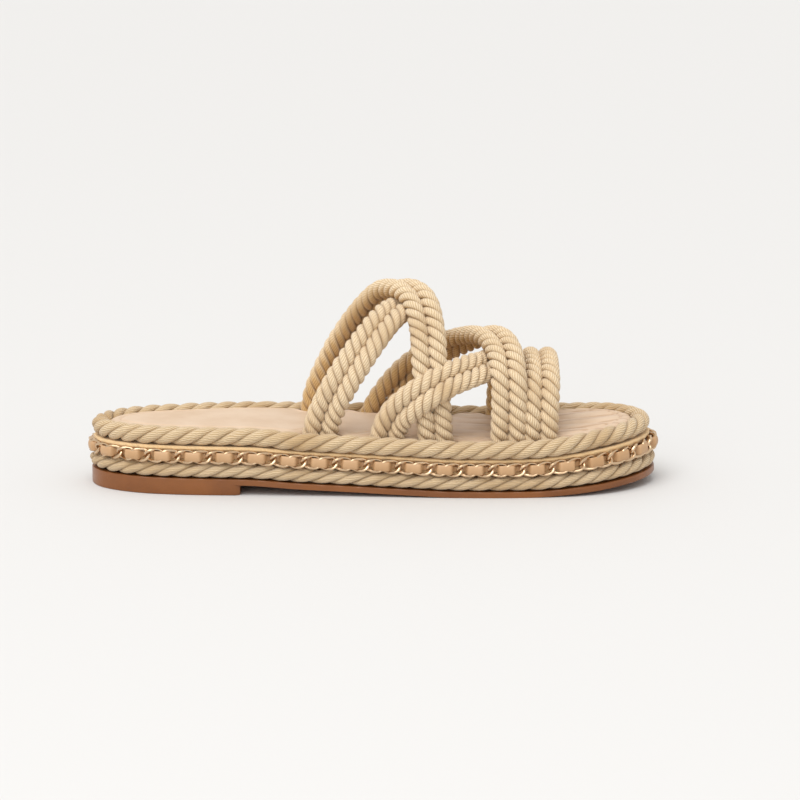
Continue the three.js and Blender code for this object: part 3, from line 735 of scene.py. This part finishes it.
def open_sheet(name, columns, rows, place_at):
    """A shaped sheet whose open ends are left for the next copy"""
    piece = shaped_sheet(name, columns, rows, place_at)
    bpy.ops.object.mode_set(mode="EDIT")
    bpy.ops.mesh.select_all(action="DESELECT")
    bpy.ops.object.mode_set(mode="OBJECT")
    for face in piece.data.polygons:
        face.select = len(face.vertices) > 4
    bpy.ops.object.mode_set(mode="EDIT")
    bpy.ops.mesh.delete(type="ONLY_FACE")
    bpy.ops.object.mode_set(mode="OBJECT")
    return piece


lace = open_sheet("leather_ribbon", LACE_SECTION, LACE_CELLS, lace_turn)
repeated(lace, LINKS // 2, 2 * LINK_PITCH)
round_platform(lace, LINK_RISE, CHAIN_MIDDLE)
weld(lace)
LACE_NUDE = (0.56, 0.345, 0.18)
LACE_DARK = (0.49, 0.285, 0.135)
LACE_LEATHER = leather("lace_leather", LACE_NUDE, LACE_DARK, 1300, 0.40, 0.12)
finished(lace, LACE_LEATHER, "nude_leather", "leather_lace")

# ---------------------------------------------------------------- Upper rope
# The same cotton rope, thinner, sewn round the top of the platform. Where the straps come up
# inside it, they press it outwards over the chain.
UPPER_ROPE_DIAMETER = 8.6 * MM
UPPER_ROPE_LAY = 26 * MM
UPPER_ROPE_MIDDLE = -4.51 * MM
UPPER_ROPE_RISE = SHOULDER + SEAT_GAP + UPPER_ROPE_DIAMETER / 2
STRAP_PUSH = 2.4 * MM
# Share of the length, and of the straps' push there
PRESSED = [(0.0, 0), (0.29, 0), (0.37, 1), (0.83, 1), (0.9, 0), (1.0, 0)]


def pressed_edge(turn):
    x, _ = edge_at(turn, 0)
    return UPPER_ROPE_MIDDLE + STRAP_PUSH * from_table(PRESSED, np.clip(x / SHOE_LENGTH, 0, 1), 1)


upper_rope = rope_round_sole(
    "upper_rope_laid", pressed_edge, UPPER_ROPE_RISE, UPPER_ROPE_DIAMETER, UPPER_ROPE_DIAMETER,
    UPPER_ROPE_LAY,
)
finished(upper_rope, RAND_COTTON, "cotton_rope", "upper_rope")

# ---------------------------------------------------------------- Straps
# Five pairs of three-strand cotton ropes, sewn side by side. Two pairs cross over the instep and
# two in front of them, and a straight pair closes the front. Their ends go down inside the upper
# rope.
STRAP_ROPE_DIAMETER = 8.2 * MM
STRAP_ROPE_NEST = 0.3 * MM
STRAP_ROPE_SPACING = STRAP_ROPE_DIAMETER - STRAP_ROPE_NEST
STRAP_ROPE_FULL = 9 * MM  # over the crowns of its strands, which nest with the next rope's
STRAP_ROPE_LAY = 14.8 * MM
STRAP_LEAN = 0.8 * MM
FOOT_SPARE = 3 * MM  # of each end, below the shoulder it stands on
ROPES_APART = (UPPER_ROPE_DIAMETER + STRAP_ROPE_DIAMETER) / 2
STRAP_FOOT = UPPER_ROPE_MIDDLE + STRAP_PUSH - ROPES_APART - SEAT_GAP - STRAP_LEAN
STRAP_STEP = 1.15 * MM
STRAP_SIDES = 12
# Paths from the steep foot to the slanting one: share of the length, of the half width, of the rise
REAR_STRAP = [
    (0.611, -1.0, 0.0), (0.604, -1.02, 0.36), (0.598, -0.95, 0.59), (0.594, -0.72, 0.79),
    (0.581, -0.4, 0.95), (0.556, 0.0, 1.0), (0.52, 0.5, 0.95), (0.476, 0.88, 0.745),
    (0.435, 1.05, 0.49), (0.403, 1.0, 0.21), (0.393, 1.0, 0.0),
]
UNDER_STRAP = [
    (0.733, -1.0, 0.0), (0.736, -1.02, 0.42), (0.738, -0.92, 0.74), (0.735, -0.5, 0.95),
    (0.724, 0.0, 1.0), (0.698, 0.55, 0.97), (0.665, 0.84, 0.94), (0.63, 1.05, 0.88),
    (0.595, 1.16, 0.76), (0.564, 1.13, 0.6), (0.536, 1.03, 0.38), (0.515, 1.0, 0.0),
]
OVER_STRAP = [
    (0.733, -1.0, 0.0), (0.736, -1.02, 0.42), (0.735, -0.92, 0.74), (0.725, -0.5, 0.95),
    (0.702, 0.0, 1.0), (0.665, 0.6, 0.9), (0.625, 0.95, 0.77), (0.585, 1.04, 0.63),
    (0.545, 1.06, 0.43), (0.512, 1.0, 0.18), (0.495, 1.0, 0.0),
]
FRONT_STRAP = [
    (0.733, -1.0, 0.0), (0.735, -1.0, 0.5), (0.737, -0.8, 0.82), (0.738, 0.0, 1.0),
    (0.737, 0.8, 0.82), (0.735, 1.0, 0.5), (0.733, 1.0, 0.0),
]
CROSSING_STEP = STRAP_ROPE_DIAMETER - SEAT_GAP
REAR_CREST = 89.8 * MM
MIDDLE_CREST = 68 * MM
FRONT_CREST = 57.5 * MM
MIDDLE_SLACK = 2 * MM  # more room between the two middle pairs where they cross
FRONT_TUCK = 0.8 * MM
FRONT_STEP = 2 * STRAP_ROPE_SPACING - FRONT_TUCK
STRAP_TILT = 0.6  # of a strap's face, which would point away from the foot's middle at 1
# Path, side of its steep foot, height of its crest, share of its path's reach, and how far ahead
STRAP_PAIRS = [
    (REAR_STRAP, 1, REAR_CREST - CROSSING_STEP, 0.95, 0),
    (REAR_STRAP, -1, REAR_CREST, 1, 0),
    (UNDER_STRAP, 1, MIDDLE_CREST - CROSSING_STEP - MIDDLE_SLACK, 1, 0),
    (OVER_STRAP, -1, MIDDLE_CREST, 1, 0),
    (FRONT_STRAP, -1, FRONT_CREST, 1, FRONT_STEP),
]


def side_at(x, side, outwards):
    """y of the outline on one side of the foot, moved outwards"""
    turns = np.linspace(0 if side < 0 else 1, TOE_TURN, 500)
    line_x, line_y = edge_at(turns, outwards)
    return np.interp(x, line_x, line_y)


def strap_middle(x):
    return (side_at(x, -1, STRAP_FOOT) + side_at(x, 1, STRAP_FOOT)) / 2


def pair_ropes(rows, steep, crest, reach, forward):
    """The centre lines of the two ropes of a pair, each with its sides and ups"""
    corners = []
    for along, side, rise in rows:
        x = (rows[0][0] + (along - rows[0][0]) * reach) * SHOE_LENGTH + forward
        half = side_at(x, 1, STRAP_FOOT) - strap_middle(x)
        y = strap_middle(x) - steep * side * half
        foot = on_sole(x, y, SHOULDER + SEAT_GAP)[2]
        corners.append((x, y, foot + rise * (crest - foot) - (FOOT_SPARE if rise == 0 else 0)))
    length = np.linalg.norm(np.diff(np.array(corners), axis=0), axis=1).sum()
    steps = round(length / STRAP_STEP)
    line = smooth_line(corners, False, steps)
    ahead = np.gradient(line, axis=0)
    ahead /= np.linalg.norm(ahead, axis=1)[:, None]
    above = np.maximum(line[:, 2] - sole_height(line[:, 0]) - STACK_HEIGHT, 0)
    outward = np.stack([0 * above, line[:, 1] - strap_middle(line[:, 0]), STRAP_TILT * above], axis=1)
    across = np.cross(ahead, outward)
    across /= np.linalg.norm(across, axis=1)[:, None]
    ropes = []
    for offset in (-STRAP_ROPE_SPACING / 2, STRAP_ROPE_SPACING / 2):
        centres = line + across * offset
        run = np.gradient(centres, axis=0)
        run /= np.linalg.norm(run, axis=1)[:, None]
        sides = across - run * (across * run).sum(axis=1)[:, None]
        sides /= np.linalg.norm(sides, axis=1)[:, None]
        ropes.append((centres + (HEEL_X, MIDDLE_Y, 0), sides, np.cross(run, sides)))
    return ropes


strap_parts = []
for number, pair in enumerate(STRAP_PAIRS):
    for rope, (centres, sides, ups) in enumerate(pair_ropes(*pair)):
        strap_parts.append(laid_rope(
            f"strap_{number}_{rope}", centres, sides, ups, STRAP_ROPE_FULL, STRAP_ROPE_FULL,
            STRAP_ROPE_LAY, STRAP_SIDES,
        ))
STRAP_LIGHT = (0.82, 0.665, 0.46)
STRAP_WARM = (0.60, 0.425, 0.24)
STRAP_COTTON = cotton("strap_cotton", STRAP_LIGHT, STRAP_WARM, 14, 1.8)
FOOT_AXIS = 30 * MM  # above the floor
# A deeper gold, multiplied into the straps' colour as painted shade on their faces towards the foot
INNER_SHADE_GOLD = (0.80, 0.66, 0.44, 1)


def painted_inner_shade(material):
    """Paints shade onto the faces that look towards the foot: the cotton's colour is multiplied towards a
    deeper gold there
    """
    tree = material.node_tree
    shader = tree.nodes["Principled BSDF"]
    coords = node(tree, "TexCoord").outputs
    across = {0: coords["Object"], 1: (0, -1, -1)}
    inwards = node(tree, "VectorMath", across, operation="MULTIPLY").outputs[0]
    to_foot = node(tree, "VectorMath", {0: inwards, 1: (0, 0, FOOT_AXIS)}, operation="ADD").outputs[0]
    aim = node(tree, "VectorMath", {0: to_foot}, operation="NORMALIZE").outputs[0]
    meeting = node(tree, "VectorMath", {0: coords["Normal"], 1: aim}, operation="DOT_PRODUCT")
    facing = {"Value": meeting.outputs["Value"], "From Min": -0.1, "From Max": 0.7}
    # Painted shade mask: full on the faces that look towards the foot, none on those that look away
    inside = node(tree, "MapRange", facing).outputs[0]
    plain = shader.inputs["Base Color"].links[0].from_socket
    shade_tint = {0: inside, 6: plain, 7: INNER_SHADE_GOLD}
    painted_shade = node(tree, "Mix", shade_tint, data_type="RGBA", blend_type="MULTIPLY").outputs[2]
    tree.links.new(painted_shade, shader.inputs["Base Color"])


painted_inner_shade(STRAP_COTTON)
straps = joined("rope_straps", strap_parts)
finished(straps, STRAP_COTTON, "cotton_rope", "upper")

# ---------------------------------------------------------------- Insole
# A padded footbed in smooth nude leather, with a seam pressed a few millimetres inside its edge.
# The leather puckers into long creases over the forefoot, and is cut in round the straps' feet.
INSOLE_BASE = SHOULDER + SEAT_GAP
PAD_SWELL = 0.8 * MM  # of the soft leather over the solid pad
INSOLE_TOP = STACK_HEIGHT + PAD_SWELL
INSOLE_EDGE = UPPER_ROPE_MIDDLE - UPPER_ROPE_DIAMETER / 2 - SEAT_GAP
PAD_ROUND = 1.6 * MM
SEAM_IN = 4.6 * MM
SEAM_DEPTH = 0.8 * MM
SEAM_WIDTH = 0.55 * MM
SEAM_EASE = 2 * MM  # from the seam to the creases' full depth
CREASE_DEPTH = 1.6 * MM
CREASES = 6.5  # across the ball's width
CREASE_FROM, CREASE_FULL, CREASE_FADE, CREASE_TO = 0.60, 0.72, 0.955, 0.985
NOTCH_DEPTH = 6.4 * MM
# Straps' feet on the inner and the outer side: share of the length, half the notch's width
FRONT_FEET = [(0.611, 9.0 * MM), (0.733, 8.5 * MM), (0.79, 8.5 * MM)]
INNER_FEET = [(0.404, 9.5 * MM), (0.515, 9.5 * MM), *FRONT_FEET]
OUTER_FEET = [(0.393, 9.5 * MM), (0.495, 9.5 * MM), *FRONT_FEET]
PAD_ROWS = 220
PAD_CELLS = 80
PAD_CROWDING = 1.25  # how much closer the cells lie towards the edges


def notched(x, feet):
    """How far the insole's edge is drawn in beside the straps' feet"""
    deepest = np.zeros_like(x)
    for along, half in feet:
        off = np.abs(x - along * SHOE_LENGTH) / half
        deepest = np.maximum(deepest, 1 / (1 + off**8))
    return NOTCH_DEPTH * deepest


def pad_edges(share):
    """The two edges of the footbed at a share of the way along each"""
    inner_turn, outer_turn = share * TOE_TURN, 1 - share * (1 - TOE_TURN)
    inner = edge_at(inner_turn, INSOLE_EDGE - notched(edge_at(inner_turn, 0)[0], INNER_FEET))
    outer = edge_at(outer_turn, INSOLE_EDGE - notched(edge_at(outer_turn, 0)[0], OUTER_FEET))
    return np.array(inner), np.array(outer)


def edge_distance(x, y):
    """How far points of the footbed are from its edge"""
    inner, outer = pad_edges(np.linspace(0, 1, 500))
    rim = np.concatenate([inner, outer], axis=1)
    nearest = np.empty(len(x))
    for start in range(0, len(x), 2000):
        part = slice(start, start + 2000)
        gaps = (x[part, None] - rim[0]) ** 2 + (y[part, None] - rim[1]) ** 2
        nearest[part] = np.sqrt(gaps.min(axis=1))
    return nearest


def creases(x, y):
    """Long wavy puckers of the leather over the forefoot, which fade out before the toe"""
    along, across = x / SHOE_LENGTH, y / BALL_WIDTH
    fade = np.clip((along - CREASE_FROM) / (CREASE_FULL - CREASE_FROM), 0, 1)
    fade = fade * np.clip((CREASE_TO - along) / (CREASE_TO - CREASE_FADE), 0, 1)
    sway = 0.035 * np.sin(9 * along * math.pi + 3 * across) + 0.02 * np.sin(23 * along + 11 * across)
    ridge = np.abs(np.sin(math.pi * CREASES * (across + sway)))
    return fade * (CREASE_DEPTH * (ridge**0.6 - 0.75))


def footbed_place(u, v):
    """The footbed's section: up the inner wall, over the top, and down the outer wall"""
    section = [(-1, 0)] + [(b, 1) for b in np.linspace(-1, 1, PAD_CELLS + 1)] + [(1, 0), (-1, 0)]
    side, on_top = np.array(section)[u].T
    side = np.where(on_top > 0, np.sign(side) * (1 - (1 - np.abs(side)) ** PAD_CROWDING), side)
    inner, outer = pad_edges(v / PAD_ROWS)
    x, y = inner + (outer - inner) * (side + 1) / 2
    gap = edge_distance(x, y)
    rim = np.clip(1 - gap / (2.2 * PAD_ROUND), 0, 1)
    height = INSOLE_TOP - PAD_ROUND * (1 - np.sqrt(1 - rim**2))
    seam = np.exp(-(((gap - SEAM_IN) / SEAM_WIDTH) ** 2))
    inside = np.clip((gap - SEAM_IN) / SEAM_EASE, 0, 1)
    height = height - SEAM_DEPTH * seam + creases(x, y) * inside
    return on_sole(x, y, np.where(on_top > 0, height, INSOLE_BASE))


insole = shaped_sheet("footbed", PAD_CELLS + 3, PAD_ROWS, footbed_place)
INSOLE_NUDE = (0.68, 0.51, 0.36)
INSOLE_DARK = (0.61, 0.44, 0.295)
# The brown painted as shade into the forefoot's thin fold lines
FOLD_SHADE_BROWN = (0.44, 0.27, 0.16, 1)
INSOLE_LEATHER = leather("insole_leather", INSOLE_NUDE, INSOLE_DARK, 1100, 0.45, 0.10)


def painted_fold_shade(material):
    """Paints shade into thin wavy fold lines over the forefoot, darkening the leather there"""
    tree = material.node_tree
    shader = tree.nodes["Principled BSDF"]
    place = node(tree, "TexCoord").outputs["Object"]
    along = node(tree, "SeparateXYZ", {0: place}).outputs["X"]
    wavy = {"Vector": place, "Scale": 42.0, "Distortion": 3.2, "Detail": 2.5, "Detail Scale": 0.7}
    waves = node(tree, "TexWave", wavy, bands_direction="Y").outputs["Fac"]
    thin = {"Value": waves, "From Max": 0.16, "To Min": 0.6, "To Max": 0.0}
    fold_shade = node(tree, "MapRange", thin).outputs[0]
    forefoot = node(tree, "MapRange", {"Value": along, "From Min": 0.02, "From Max": 0.07}).outputs[0]
    dark = node(tree, "Math", {0: fold_shade, 1: forefoot}, operation="MULTIPLY").outputs[0]
    plain = shader.inputs["Base Color"].links[0].from_socket
    with_fold_shade = node(tree, "Mix", {0: dark, 6: plain, 7: FOLD_SHADE_BROWN}, data_type="RGBA").outputs[2]
    tree.links.new(with_fold_shade, shader.inputs["Base Color"])


painted_fold_shade(INSOLE_LEATHER)
finished(insole, INSOLE_LEATHER, "nude_leather", "insole")
